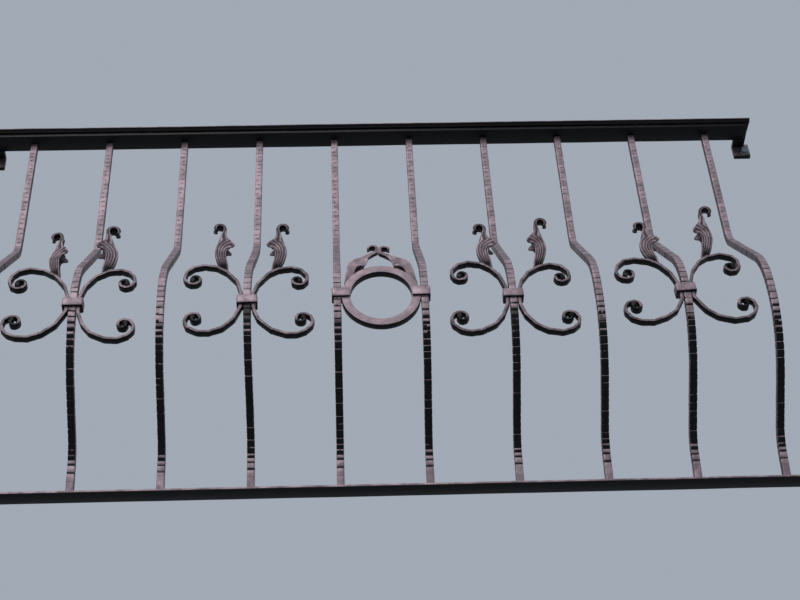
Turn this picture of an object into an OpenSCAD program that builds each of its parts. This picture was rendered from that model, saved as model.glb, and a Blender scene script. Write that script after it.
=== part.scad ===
// Juliet balcony of wrought iron. Ten belly balusters stand between a moulded handrail and
// a flat bottom rail, with scrollwork, leaves and a ring held by collars.
// Origin: on the wall face of the lower left bracket, behind the centre of its arm.
// X runs along the rails, Y towards the wall, Z up. The wall plane is Y = 0.

/* [Balusters] */
// Distance between baluster centres
bar_pitch = 140; // [134:1:160]
// Side of the square baluster bar
bar = 12.5; // [10:0.5:14]
// Clear height between the two rails
clear_h = 835; // [780:5:1000]
// Distance from the wall to the middle of the straight part of a baluster
bar_setout = 35; // [31:1:60]

/* [Belly] */
// How far the belly stands out in front of the straight part
belly_out = 154; // [110:1:175]
// Height of the bend where the straight part starts to flare out
flare_top = 546; // [505:1:640]
// Height where the flare would meet the front of the belly
belly_top = 333; // [320:1:360]
// Height where the front of the belly would meet the lower slope
belly_low = 188; // [165:1:200]
// Height where the lower slope would meet the foot
foot_h = 73; // [60:1:85]
// How far the top of the foot leans out
foot_lean = 13; // [5:1:20]
// Radius of the bend under the straight part
flare_r = 60; // [30:1:120]
// Radius of the upper belly
upper_r = 155; // [80:1:160]
// Radius of the lower belly
lower_r = 170; // [100:1:175]
// Radius of the bend above the foot
foot_r = 70; // [30:1:75]

/* [Rails] */
// Width of the flat bar under the handrail
top_bar_w = 35; // [30:1:50]
// Thickness of the flat bar under the handrail
top_bar_t = 8; // [5:1:12]
// How far that flat bar reaches behind the baluster axis
top_bar_back = 10; // [8:0.5:16]
// How far the handrail overhangs the flat bar at the front and at the back
cap_over = 8; // [6:1:14]
// Thickness of the handrail
cap_t = 8; // [6:1:16]
// Rise of the handrail's crowned top
cap_crown = 1.2; // [0.5:0.1:3]
// Radius of the hollow moulding under the handrail's edges
cap_cove = 4.5; // [2:0.5:5]
// How far the handrail's front corners run past the flat bar's ends
cap_front_end = 5; // [2:1:12]
// How far the handrail's back corners run past the flat bar's ends
cap_back_end = 1; // [0:1:6]
// Width of the bottom rail
bottom_w = 25; // [16:1:40]
// Thickness of the bottom rail
bottom_t = 6; // [5:1:12]
// How far the rails run past the axis of the end balusters
rail_over = 80; // [60:1:120]

/* [Scrolls] */
// Height of the collars' middle above the bottom rail
feature_h = 262; // [250:1:280]
// Length of bar in one arm of a scroll
arm_len = 222; // [200:1:228]
// Turn spread evenly along an arm, in degrees
arm_sweep = 124; // [110:1:135]
// Turn wound up towards the tip of an arm, in degrees
arm_curl = 496; // [440:1:505]
// How fast the curl tightens towards the tip
arm_tighten = 5.15; // [4.8:0.05:5.3]
// Thickness of the scroll bar
scroll_t = 6; // [4:0.5:8]
// Depth of the scroll bar, front to back
scroll_d = 12; // [8:0.5:16]
// Gap between a scroll's back and the baluster
scroll_gap = 0.2; // [0.1:0.05:0.5]

/* [Collars] */
// Height of a collar
collar_h = 18; // [12:1:24]
// Thickness of a collar's wall
collar_wall = 2.6; // [2:0.1:4]
// Room between a collar and the bars inside it
collar_gap = 0.2; // [0.1:0.05:0.4]

/* [Ring] */
// Height of the ring's middle above the collars' middle
ring_up = 5; // [0:1:12]
// Lean of the ring's top towards the street, in degrees
ring_lean = 3.2; // [0:0.1:6]
// Width of the ring's bar, across its face
ring_w = 14; // [10:0.5:20]
// Depth of the ring's bar, front to back
ring_d = 12; // [8:0.5:16]
// Gap between the ring and the balusters beside it
ring_gap = 0.4; // [0.2:0.1:1]
// How far the ring's clips sit above the ring's middle
ring_clip_up = 6; // [0:1:12]
// How far a clip stops short of the ring's inner edge
ring_clip_short = 1; // [0.5:0.5:4]

/* [Leaves] */
// Height of a leaf up to the top of its hooked tip
leaf_h = 103; // [90:1:120]
// Width of a leaf's blade, seen from the front
leaf_w = 20.5; // [16:0.5:24]
// Width of a leaf's foot, seen from the front
leaf_foot_w = 10; // [8:0.5:12]
// Spread of a leaf's sides, front to back
leaf_d = 22; // [18:1:28]
// Depth of a leaf's foot, front to back
leaf_foot_d = 11; // [8:0.5:14]
// Width of a leaf's folded back
leaf_back_d = 8; // [7:0.5:14]
// Thickness of a leaf's sheet
leaf_t = 2.5; // [1.5:0.1:3]
// Outer radius of the hooked tip
hook_r = 11; // [9:0.5:14]
// Thickness of the hooked tip
hook_t = 4.5; // [3:0.5:6]
// Depth of the hooked tip, front to back
hook_d = 14; // [8:0.5:16]
// Reach of a leaf's lobe from the middle of its foot
lobe_reach = 16; // [12:0.5:18]
// Radius of the lobe's rounded end
lobe_r = 7; // [5:0.5:8]
// Height of the lobe's middle on the leaf
lobe_h = 53; // [48:1:58]
// Distance from the baluster axis to a leaf's stem, on the scrolls
leaf_at = 41; // [36:0.5:46]
// Gap between a leaf and the bar that it stands on
leaf_gap = 0.2; // [0.1:0.05:0.5]
// Size of the ring's leaves against those on the scrolls
ring_leaf_size = 0.88; // [0.7:0.01:0.9]
// Lean of the leaves on the ring, in degrees
ring_leaf_lean = 38; // [30:1:42]
// Place of a ring leaf's foot around the ring, in degrees from its top
ring_leaf_at = 61; // [55:1:64]

/* [Wall brackets] */
// Width of a bracket's arm, which is flush with the rail's end
arm_w = 22; // [14:1:26]
// Width of a bracket's flange on the wall, which runs out past the arm
flange_w = 31; // [28:1:50]
// Height of a bracket's flange
flange_h = 34; // [28:1:60]
// Thickness of a bracket's flange
flange_t = 8; // [5:1:10]
// Radius of the bolt hole in a flange
bolt_r = 4.5; // [3:0.5:5.5]
// Distance from a flange's outer edge to its bolt hole
bolt_edge = 10; // [9:0.5:12]

/* [Hidden] */

// Ten balusters, each a piece of its own
bar_count = 10;
// Facets of a full circle
round_fn = 64;
// Points along one arm of a scroll
arm_steps = 60;
// How much closer the points of an arm are set towards its tip
arm_closer = 1.5;
// Points along one bend of a baluster
bend_steps = 9;
// Reach of a cut beyond the solid it cuts
past = 1;

iron = [0.17, 0.14, 0.14];
rose = [0.62, 0.47, 0.47];

// Places along X
half_span = (bar_count - 1) / 2 * bar_pitch;
mid_x = half_span + rail_over - arm_w / 2;
rail_len = 2 * (half_span + rail_over);
// Places along Z
foot_z = bottom_t / 2;
head_z = foot_z + clear_h;
feature_z = foot_z + feature_h;
// Places along Y
bar_y = -bar_setout;
top_bar_y = bar_y + top_bar_back - top_bar_w;
bottom_y = bar_y - bottom_w / 2;

function unit(v) = v / norm(v);
function bar_x(i) = mid_x - half_span + (i - 1) * bar_pitch;

// Points of the arc of radius r that rounds the corner b between a and c
function bend(a, b, c, r) =
    let (
        u = unit(a - b),
        v = unit(c - b),
        half = acos(u * v) / 2,
        centre = b + unit(u + v) * r / sin(half),
        start = b + u * r / tan(half) - centre,
        end = b + v * r / tan(half) - centre,
        from = atan2(start[1], start[0]),
        turn = (atan2(end[1], end[0]) - from + 540) % 360 - 180
    )
    [for (k = [0 : bend_steps]) centre + r * [cos(from + turn * k / bend_steps),
                                              sin(from + turn * k / bend_steps)]];

// Middle line of a baluster, seen from the side: [distance out, height]
top_point = [0, clear_h];
flare_point = [0, flare_top];
belly_point = [belly_out, belly_top];
lower_point = [belly_out, belly_low];
foot_point = [foot_lean, foot_h];
base_point = [0, 0];
bar_line = concat(
    [top_point],
    bend(top_point, flare_point, belly_point, flare_r),
    bend(flare_point, belly_point, lower_point, upper_r),
    bend(belly_point, lower_point, foot_point, lower_r),
    bend(lower_point, foot_point, base_point, foot_r),
    [base_point]
);

// Unit normals of a line of points, level at both ends so that the ends are cut flat
function side_dir(line, i) =
    let (last = len(line) - 1)
    i == 0 || i == last
        ? let (t = unit(i == 0 ? line[1] - line[0] : line[last] - line[last - 1])) [-1 / t[1], 0]
        : let (t = unit(unit(line[i + 1] - line[i]) + unit(line[i] - line[i - 1]))) [-t[1], t[0]];

// Outline of a strip of half width w along a line of points
function strip(line, w) = concat(
    [for (i = [0 : len(line) - 1]) line[i] + w * side_dir(line, i)],
    [for (i = [len(line) - 1 : -1 : 0]) line[i] - w * side_dir(line, i)]
);

// A baluster's solid about X = 0, larger by grow on all four sides
module bar_solid(grow = 0) {
    translate([0, bar_y, foot_z])
        rotate([90, 0, -90])
            linear_extrude(bar + 2 * grow, center = true)
                polygon(strip(bar_line, bar / 2 + grow));
}

// The scrollwork is centred on the balusters at its own height
feature_y = bar_y - lookup(feature_h, [for (p = bar_line) [p[1], p[0]]]);

// One arm of a scroll: it leaves the collar upwards and winds outwards. u runs from 0 to 1
function arm_turn(u) = arm_sweep * u + arm_curl * (exp(arm_tighten * u) - 1) / (exp(arm_tighten) - 1);
scroll_x = bar / 2 + scroll_gap + scroll_t / 2;
function arm_u(i) = 1 - pow(max(0, 1 - i / arm_steps), arm_closer);
function arm_move(i) =
    let (turn = arm_turn((arm_u(i) + arm_u(i + 1)) / 2))
    arm_len * (arm_u(i + 1) - arm_u(i)) * [sin(turn), cos(turn)];
arm_line = [for (i = 0, p = [scroll_x, 0]; i <= arm_steps; p = p + arm_move(i), i = i + 1) p];
// The whole scroll, from the lower tip to the upper tip
scroll_line = concat(
    [for (i = [arm_steps : -1 : 1]) [arm_line[i][0], -arm_line[i][1]]],
    arm_line
);
// Direction across a scroll's bar, square to it at the tips too
function across(line, i) =
    let (
        last = len(line) - 1,
        a = line[max(i - 1, 0)],
        b = line[min(i + 1, last)],
        t = unit(b - a)
    )
    [-t[1], t[0]];
function ribbon(line, w) = concat(
    [for (i = [0 : len(line) - 1]) line[i] + w * across(line, i)],
    [for (i = [len(line) - 1 : -1 : 0]) line[i] - w * across(line, i)]
);
// How far a scroll's outer face leans out inside a collar
scroll_edge = max([for (p = arm_line) if (p[1] < collar_h / 2 + arm_len * arm_u(1)) p[0]]) + scroll_t / 2;

// Stands a flat outline, drawn in X and Z, upright and centred on a depth
module upright(depth) {
    rotate([90, 0, 0]) linear_extrude(depth, center = true) children();
}

// side is 1 for the scroll on the right of its baluster and -1 for the left
module scroll_solid(side, grow = 0) {
    mirror([side < 0 ? 1 : 0, 0, 0])
        upright(scroll_d + 2 * grow) polygon(ribbon(scroll_line, scroll_t / 2 + grow));
}

// Front view of a leaf: a crescent blade with a lobe on one side and a tip that hooks to the
// other. The middle of its foot stands at the origin and its hook reaches to +X. k is its size
module leaf_outline(k) {
    hook_z = k * (leaf_h - hook_r);
    blade_h = hook_z - k * hook_r / 2;
    blade(k, blade_h);
    // Hooked tip: three quarters of a ring
    difference() {
        translate([k * hook_r, hook_z]) circle(k * hook_r, $fn = round_fn);
        translate([k * hook_r, hook_z]) circle(k * (hook_r - hook_t), $fn = round_fn);
        translate([k * hook_r, hook_z - k * hook_r - past]) square(k * hook_r + past);
    }
    // Neck between blade and tip
    translate([0, blade_h - k * hook_t]) square([k * hook_t, hook_z - blade_h + k * hook_t]);
    // Lobe, rounded at its end and joined to the blade
    translate([k * (lobe_r - lobe_reach), k * lobe_h]) circle(k * lobe_r, $fn = round_fn);
    translate([k * (lobe_r - lobe_reach), k * (lobe_h - lobe_r)]) square(k * [lobe_reach, 2 * lobe_r]);
}

// Blade of a leaf: a slice of a large circle that runs from its foot to its neck
module blade(k, blade_h) {
    foot = k * leaf_foot_w / 2;
    bulge = k * leaf_w - foot;
    blade_r = (blade_h * blade_h / 4 + bulge * bulge) / (2 * bulge);
    intersection() {
        translate([k * leaf_w - blade_r, blade_h / 2]) circle(blade_r, $fn = 2 * round_fn);
        polygon([
            [-foot, 0],
            [k * leaf_w, 0],
            [k * leaf_w, blade_h],
            [0, blade_h],
            [-foot, k * (lobe_h + lobe_r)]
        ]);
    }
}

// Side view of a leaf: [depth, height], narrow at foot and tip and spread at the lobe.
// thin is taken off every side
module leaf_side(k, thin = 0) {
    neck_z = k * (leaf_h - 1.5 * hook_r);
    half = [
        [k * leaf_foot_d / 2 - thin, -past],
        [k * leaf_foot_d / 2 - thin, 0],
        [k * leaf_d / 2 - thin, k * (lobe_h - lobe_r)],
        [k * leaf_d / 2 - thin, k * lobe_h],
        [k * hook_d / 2 - thin, neck_z],
        [k * hook_d / 2 - thin, k * leaf_h + past]
    ];
    polygon(concat(half, [for (i = [len(half) - 1 : -1 : 0]) [-half[i][0], half[i][1]]]));
}

// Plan of a leaf: folded back at +X, sides spreading towards the baluster
module leaf_plan(k, thin = 0) {
    front = k * leaf_w - thin;
    open_x = -k * lobe_reach - past;
    polygon([
        [front + past, k * leaf_back_d / 2 - thin],
        [open_x, k * leaf_d / 2 - thin],
        [open_x, thin - k * leaf_d / 2],
        [front + past, thin - k * leaf_back_d / 2]
    ]);
}

// The sheet between the outer form and the room inside the fold
module leaf_solid(k = 1) {
    neck_z = k * (leaf_h - 1.5 * hook_r);
    difference() {
        intersection() {
            upright(k * leaf_d + 2 * past) leaf_outline(k);
            rotate([90, 0, 90]) linear_extrude(4 * k * leaf_w, center = true) leaf_side(k);
            union() {
                translate([0, 0, -past]) linear_extrude(neck_z + past) leaf_plan(k);
                translate([0, -k * hook_d / 2, neck_z - past])
                    cube([2 * k * hook_r, k * hook_d, k * leaf_h]);
            }
        }
        intersection() {
            translate([-leaf_t, 0, 0]) upright(k * leaf_d) {
                blade(k, neck_z);
                translate([-k * leaf_w, k * leaf_t]) square([k * leaf_w + past, neck_z - 2 * k * hook_t]);
            }
            rotate([90, 0, 90]) linear_extrude(4 * k * leaf_w, center = true) leaf_side(k, leaf_t);
            translate([0, 0, -past]) linear_extrude(neck_z - k * hook_t) leaf_plan(k, leaf_t);
        }
    }
}

// A leaf's foot starts at the lower face of the scroll's bar and is cut by the bar
arm_rise = [for (i = [1 : arm_steps]) if (arm_turn(arm_u(i)) < 90) arm_line[i]];
leaf_foot = lookup(leaf_at, arm_rise) - scroll_t / 2;
ring_r = bar_pitch / 2 - bar / 2 - ring_gap;
ring_z = feature_z + ring_up;
ring_clip_z = ring_z + ring_clip_up;
ring_x = (bar_x(5) + bar_x(6)) / 2;

module handrail_cap() {
    cap_w = top_bar_w + 2 * cap_over;
    cap_y = top_bar_y - cap_over;
    cap_z = head_z + top_bar_t;
    crown_r = (cap_w * cap_w / 4 + cap_crown * cap_crown) / (2 * cap_crown);
    half = rail_len / 2;
    color(iron)
        intersection() {
            translate([mid_x, cap_y + cap_w / 2, cap_z])
                rotate([90, 0, 90])
                    linear_extrude(rail_len + 2 * cap_front_end + 2 * past, center = true)
                        difference() {
                            intersection() {
                                translate([-cap_w / 2, 0]) square([cap_w, cap_t]);
                                translate([0, cap_t - crown_r]) circle(crown_r, $fn = 12 * round_fn);
                            }
                            for (s = [-1, 1])
                                translate([s * cap_w / 2, 0]) circle(cap_cove, $fn = round_fn);
                        }
            translate([mid_x, 0, cap_z - past])
                linear_extrude(cap_t + 2 * past)
                    polygon([
                        [-half - cap_front_end, cap_y - past],
                        [half + cap_front_end, cap_y - past],
                        [half + cap_back_end, cap_y + cap_w + past],
                        [-half - cap_back_end, cap_y + cap_w + past]
                    ]);
        }
}

module top_bar() {
    color(iron)
        translate([mid_x - rail_len / 2, top_bar_y, head_z]) cube([rail_len, top_bar_w, top_bar_t]);
}

module bottom_rail() {
    color(iron)
        translate([mid_x - rail_len / 2, bottom_y, -bottom_t / 2]) cube([rail_len, bottom_w, bottom_t]);
}

module baluster(i) {
    color(rose) translate([bar_x(i), 0, 0]) bar_solid();
}

module scroll(i, side) {
    color(rose) translate([bar_x(i), feature_y, feature_z]) scroll_solid(side);
}

module collar(i) {
    inner_w = 2 * (scroll_edge + collar_gap);
    inner_d = max(scroll_d, bar) + 2 * collar_gap;
    color(rose)
        translate([bar_x(i), 0, 0])
            difference() {
                translate([0, feature_y, feature_z])
                    cube([inner_w + 2 * collar_wall, inner_d + 2 * collar_wall, collar_h], center = true);
                translate([0, feature_y, feature_z])
                    cube([inner_w, scroll_d + 2 * collar_gap, collar_h + 2 * past], center = true);
                bar_solid(collar_gap);
            }
}

module leaf(i, side) {
    color(rose)
        translate([bar_x(i), feature_y, feature_z])
            difference() {
                mirror([side < 0 ? 1 : 0, 0, 0])
                    translate([leaf_at, 0, leaf_foot]) leaf_solid();
                for (drop = [0, scroll_t]) translate([0, 0, -drop]) scroll_solid(side, leaf_gap);
            }
}

// Stands what is drawn about the ring's middle in the ring's leaning plane
module on_ring() {
    translate([ring_x, feature_y, ring_z]) rotate([ring_lean, 0, 0]) children();
}

module centre_ring() {
    color(rose)
        on_ring()
            upright(ring_d)
                difference() {
                    circle(ring_r, $fn = 2 * round_fn);
                    circle(ring_r - ring_w, $fn = 2 * round_fn);
                }
}

// Clip round a baluster and over the faces of the ring beside it.
// side is -1 for the clip on baluster 5 and 1 for the one on baluster 6
module ring_clip(side) {
    inner_d = max(ring_d, bar) + 2 * collar_gap;
    lean_out = ring_clip_up * tan(ring_lean);
    clip_y = feature_y - inner_d / 2 - collar_wall - lean_out;
    outer_x = bar / 2 + collar_gap + collar_wall;
    ring_side_x = bar / 2 + ring_gap + ring_w - ring_clip_short;
    color(rose)
        translate([bar_x(side < 0 ? 5 : 6), 0, 0])
            mirror([side > 0 ? 1 : 0, 0, 0])
                difference() {
                    translate([-outer_x, clip_y, ring_clip_z - collar_h / 2])
                        cube([outer_x + ring_side_x, inner_d + 2 * collar_wall + lean_out, collar_h]);
                    translate([0, feature_y, ring_z])
                        rotate([ring_lean, 0, 0])
                            translate([0, -ring_d / 2 - collar_gap, -ring_r])
                                cube([ring_side_x + past, ring_d + 2 * collar_gap, 2 * ring_r]);
                    bar_solid(collar_gap);
                }
}

module ring_leaf(side) {
    foot_reach = ring_r - ring_w / 6;
    color(rose)
        on_ring()
            difference() {
                mirror([side < 0 ? 1 : 0, 0, 0])
                    translate([foot_reach * sin(ring_leaf_at), 0, foot_reach * cos(ring_leaf_at)])
                        rotate([0, -ring_leaf_lean, 0])
                            leaf_solid(ring_leaf_size);
                upright(leaf_d + 2 * past) circle(ring_r + leaf_gap, $fn = 2 * round_fn);
            }
}

// Angle bracket: a flange bolted to the wall and an arm out to the back edge of a rail.
// side is -1 at the left end and 1 at the right. The flange runs from the arm's far side
// up where way is 1 and down where way is -1
module bracket(side, way, arm_z, arm_t, back_y) {
    arm_x = mid_x + side * (rail_len - arm_w) / 2;
    inner = arm_x - side * arm_w / 2;
    outer = inner + side * flange_w;
    low = way > 0 ? arm_z : arm_z + arm_t - flange_h;
    bolt_z = low + (flange_h + way * arm_t) / 2;
    color(iron)
        difference() {
            union() {
                translate([min(outer, inner), -flange_t, low]) cube([flange_w, flange_t, flange_h]);
                translate([arm_x - arm_w / 2, back_y, arm_z]) cube([arm_w, -back_y, arm_t]);
            }
            translate([outer - side * bolt_edge, 0, bolt_z])
                rotate([90, 0, 0]) cylinder(h = 3 * flange_t, r = bolt_r, center = true, $fn = round_fn);
        }
}

module bracket_top(side) {
    bracket(side, -1, head_z, top_bar_t, top_bar_y + top_bar_w);
}

module bracket_bottom(side) {
    bracket(side, 1, -bottom_t / 2, bottom_t, bottom_y + bottom_w);
}

handrail_cap();
top_bar();
bottom_rail();
baluster(1);  // baluster_01
baluster(2);  // baluster_02
baluster(3);  // baluster_03
baluster(4);  // baluster_04
baluster(5);  // baluster_05
baluster(6);  // baluster_06
baluster(7);  // baluster_07
baluster(8);  // baluster_08
baluster(9);  // baluster_09
baluster(10);  // baluster_10
collar(2);  // collar_02
collar(4);  // collar_04
collar(7);  // collar_07
collar(9);  // collar_09
scroll(2, -1);  // scroll_02_left
scroll(2, 1);  // scroll_02_right
scroll(4, -1);  // scroll_04_left
scroll(4, 1);  // scroll_04_right
scroll(7, -1);  // scroll_07_left
scroll(7, 1);  // scroll_07_right
scroll(9, -1);  // scroll_09_left
scroll(9, 1);  // scroll_09_right
leaf(2, -1);  // leaf_02_left
leaf(2, 1);  // leaf_02_right
leaf(4, -1);  // leaf_04_left
leaf(4, 1);  // leaf_04_right
leaf(7, -1);  // leaf_07_left
leaf(7, 1);  // leaf_07_right
leaf(9, -1);  // leaf_09_left
leaf(9, 1);  // leaf_09_right
centre_ring();
ring_clip(-1);  // ring_clip_left
ring_clip(1);  // ring_clip_right
ring_leaf(-1);  // ring_leaf_left
ring_leaf(1);  // ring_leaf_right
bracket_top(-1);  // bracket_top_left
bracket_top(1);  // bracket_top_right
bracket_bottom(-1);  // bracket_bottom_left
bracket_bottom(1);  // bracket_bottom_right
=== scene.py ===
import math
import random

import bmesh
import bpy
from mathutils import Matrix, Vector, noise


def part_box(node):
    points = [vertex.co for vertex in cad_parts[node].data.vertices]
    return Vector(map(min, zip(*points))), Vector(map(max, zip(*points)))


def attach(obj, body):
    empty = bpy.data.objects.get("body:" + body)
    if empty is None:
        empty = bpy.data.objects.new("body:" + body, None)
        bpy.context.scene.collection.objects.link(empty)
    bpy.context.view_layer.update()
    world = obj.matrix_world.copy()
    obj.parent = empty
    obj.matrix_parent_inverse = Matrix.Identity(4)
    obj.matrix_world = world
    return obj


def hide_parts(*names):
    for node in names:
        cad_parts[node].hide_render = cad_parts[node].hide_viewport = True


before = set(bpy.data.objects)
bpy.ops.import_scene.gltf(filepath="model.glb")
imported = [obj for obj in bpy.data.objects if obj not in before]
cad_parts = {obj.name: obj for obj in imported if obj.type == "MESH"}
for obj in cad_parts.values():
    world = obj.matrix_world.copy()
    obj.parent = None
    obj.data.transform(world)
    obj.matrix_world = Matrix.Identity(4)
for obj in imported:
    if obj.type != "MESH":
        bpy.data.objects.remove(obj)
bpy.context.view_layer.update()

mm = 0.001
handSides = {"left": -1, "right": 1}
scrollBars = (2, 4, 7, 9)        # balusters that carry a pair of scrolls
surfaceSeed = 1795671511         # without it, the noise in roughen would start from the clock
noise.seed_set(surfaceSeed)


def turned(degrees, axis):
    return Matrix.Rotation(math.radians(degrees), 4, axis)


# Camera: from the street, looking up
cameraSetup = {
    "place": (0.6271, -2.2263, -1.7656),
    "pitch": 44.84,    # degrees above level
    "yaw": -2.86,
    "roll": -3.07,
    "lens": 81.0,      # mm
    "sensor": 36.0,    # mm wide
}


def addCamera(setup):
    bpy.ops.object.camera_add(location=setup["place"])
    camera = bpy.context.object
    camera.name = "streetCamera"
    camera.data.lens = setup["lens"]
    camera.data.sensor_width = setup["sensor"]
    turn = turned(setup["yaw"], "Z") @ turned(90 + setup["pitch"], "X") @ turned(setup["roll"], "Z")
    camera.rotation_euler = turn.to_euler()
    bpy.context.scene.camera = camera


addCamera(cameraSetup)
print("camera stands in the street")


# Places taken from the frame
def middleOf(node):
    low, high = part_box(node)
    return (Vector(low) + Vector(high)) / 2


def sizeOf(node):
    low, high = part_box(node)
    return Vector(high) - Vector(low)


barX = {i: middleOf("baluster_%02d" % i).x for i in range(1, 11)}
featureY = middleOf("collar_04").y       # the plane of the scrollwork
featureZ = middleOf("collar_04").z
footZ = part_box("bottom_rail")[1][2]      # where the balusters stand


# Materials: black iron with a rose patina that was brushed over it
ironColours = {
    "blackPaint": (0.0048, 0.0042, 0.0044, 1),
    "patinaRose": (0.42, 0.310, 0.352, 1),
    "patinaDull": (0.285, 0.215, 0.240, 1),
}
brushing = {
    "turnedAway": (0.2, 0.8),      # the rose fades as a face turns between these
    "turnedUp": (0.3, 0.8),
    "mottleDetail": (5.0, 0.6),    # and how rough the detail is
    "grainScale": 420.0,
    "grainDetail": (4.0, 0.65),
    "thinPatches": (0.28, 0.62),   # levels of the mottling
    "dullPatches": (0.4, 0.66),
    "specks": (0.3, 0.6),          # levels of the grain
    "speckCover": 0.82,
    "roughGrain": (0.25, 0.75),
    "roughBy": (-0.07, 0.1),
    "grainHeight": 0.35,           # against the mottling's
    "bumpDepth": 0.6 * mm,
    "shine": 0.14,
}


def newMaterial(name):
    material = bpy.data.materials.new(name)
    material.use_nodes = True
    tree = material.node_tree
    return material, tree, tree.nodes["Principled BSDF"]


def addNode(tree, kind, links=None, **settings):
    node = tree.nodes.new(kind)
    for key, value in settings.items():
        setattr(node, key, value)
    for socket, source in (links or {}).items():
        if isinstance(source, bpy.types.NodeSocket):
            tree.links.new(source, node.inputs[socket])
        else:
            node.inputs[socket].default_value = source
    return node


def mathNode(tree, operation, first, second=None, clamp=False):
    links = {0: first}
    if second is not None:
        links[1] = second
    return addNode(tree, "ShaderNodeMath", links, operation=operation, use_clamp=clamp).outputs[0]


def smoothRange(tree, value, start, end, low=0.0, high=1.0):
    node = addNode(tree, "ShaderNodeMapRange", {"Value": value, "From Min": start, "From Max": end,
                                                "To Min": low, "To Max": high},
                   interpolation_type="SMOOTHSTEP")
    return node.outputs["Result"]


def noiseAt(tree, place, scale, detail, roughness):
    return addNode(tree, "ShaderNodeTexNoise", {"Vector": place, "Scale": scale, "Detail": detail,
                                                "Roughness": roughness}).outputs["Fac"]


def blendColours(tree, share, first, second):
    return addNode(tree, "ShaderNodeMix", {"Factor": share, 6: first, 7: second},
                   data_type="RGBA").outputs[2]


def brushedIron(name, look):
    material, tree, shader = newMaterial(name)
    place = addNode(tree, "ShaderNodeTexCoord").outputs["Object"]
    normal = addNode(tree, "ShaderNodeNewGeometry").outputs["Normal"]
    facing = addNode(tree, "ShaderNodeSeparateXYZ", {0: normal})
    mottle = noiseAt(tree, place, look["mottleScale"], *brushing["mottleDetail"])
    grain = noiseAt(tree, place, brushing["grainScale"], *brushing["grainDetail"])
    # the patina is brushed on the street side, less on the flanks, least at the back and on top
    towardsStreet = mathNode(tree, "MULTIPLY", facing.outputs["Y"], -1.0)
    cover = smoothRange(tree, towardsStreet, *brushing["turnedAway"], look["flank"], look["front"])
    behind = smoothRange(tree, facing.outputs["Y"], *brushing["turnedAway"], 1.0, look["back"])
    above = smoothRange(tree, facing.outputs["Z"], *brushing["turnedUp"], 1.0, look["top"])
    # faces that look down lose the rose: partly where the brush didn't reach, partly painted shade on the
    # undersides
    below = smoothRange(tree, facing.outputs["Z"], look["dropFrom"], look["dropTo"])
    for share in (behind, above, below):
        cover = mathNode(tree, "MULTIPLY", cover, share)
    # hollows that the brush didn't reach, painted shade inside the leaves' folds and low on their bodies,
    # black kept at the scroll tips and below two collars, and edges that it caught, where the value is below
    # nought
    hollow = addNode(tree, "ShaderNodeAttribute", attribute_name="hollow").outputs["Fac"]
    darkened = mathNode(tree, "MULTIPLY", hollow, look["hollow"])
    cover = mathNode(tree, "SUBTRACT", cover, darkened, clamp=True)
    patchy = smoothRange(tree, mottle, *brushing["thinPatches"], look["thin"], 1.0)
    speck = smoothRange(tree, grain, *brushing["specks"], brushing["speckCover"], 1.0)
    for share in (patchy, speck):
        cover = mathNode(tree, "MULTIPLY", cover, share)
    rosy = smoothRange(tree, mottle, *brushing["dullPatches"])
    rose = blendColours(tree, rosy, ironColours["patinaDull"], ironColours["patinaRose"])
    colour = blendColours(tree, cover, ironColours["blackPaint"], rose)
    tree.links.new(colour, shader.inputs["Base Color"])
    tree.links.new(mathNode(tree, "MULTIPLY", cover, look["metal"]), shader.inputs["Metallic"])
    smoother, rougher = (look["roughness"] + by for by in brushing["roughBy"])
    rough = smoothRange(tree, grain, *brushing["roughGrain"], smoother, rougher)
    tree.links.new(rough, shader.inputs["Roughness"])
    height = mathNode(tree, "ADD", mathNode(tree, "MULTIPLY", grain, brushing["grainHeight"]), mottle)
    bump = addNode(tree, "ShaderNodeBump", {"Height": height, "Strength": look["bump"],
                                            "Distance": brushing["bumpDepth"]})
    tree.links.new(bump.outputs["Normal"], shader.inputs["Normal"])
    shader.inputs["Specular IOR Level"].default_value = brushing["shine"]
    return material


# scale of the mottling; rose in front and on the flanks, and the share of it behind and on top; where it
# ends on faces that look down, partly painted shade on the undersides; how much hollows and painted shade
# take away; what is left in thin patches; the finish
patinaColumns = ("mottleScale", "front", "flank", "back", "top", "dropFrom", "dropTo",
                 "hollow", "thin", "metal", "roughness", "bump")
patinaLooks = {
    "rail": (38.0, 0.04, 0.03, 0.8, 0.9, -0.2, 0.1, 1.0, 0.55, 0.3, 0.4, 0.25),
    "baluster": (55.0, 1.15, 0.36, 0.45, 0.25, -0.36, -0.22, 1.0, 0.8, 0.25, 0.44, 0.3),
    "scrollwork": (60.0, 0.84, 0.42, 0.45, 0.5, -0.3, -0.15, 0.7, 0.6, 0.3, 0.44, 0.3),
    "leaf": (70.0, 1.05, 0.85, 0.3, 0.8, -0.98, -0.75, 0.88, 0.75, 0.3, 0.42, 0.2),
    "ringLeaf": (70.0, 1.3, 1.1, 0.3, 0.9, -0.9, -0.6, 0.55, 0.9, 0.2, 0.42, 0.2),
    "collar": (60.0, 0.95, 0.5, 0.45, 0.45, -0.3, -0.1, 0.6, 0.8, 0.3, 0.42, 0.3),
    "ring": (45.0, 1.3, 0.35, 0.45, 0.6, -0.35, -0.15, 0.6, 0.95, 0.2, 0.45, 0.3),
    "bracket": (50.0, 0.9, 0.5, 0.4, 0.5, -0.3, 0.0, 0.0, 0.3, 0.3, 0.42, 0.3),
}
finishes = {}
for finishName, values in patinaLooks.items():
    finishes[finishName] = brushedIron(finishName + "Iron", dict(zip(patinaColumns, values)))

zincLook = {
    "crystalScale": 420.0,
    "tones": (0.25, 0.75),
    "dark": (0.15, 0.16, 0.18, 1),
    "bright": (0.34, 0.36, 0.39, 1),
    "roughness": (0.3, 0.5),
    "metal": 0.8,
}


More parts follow.
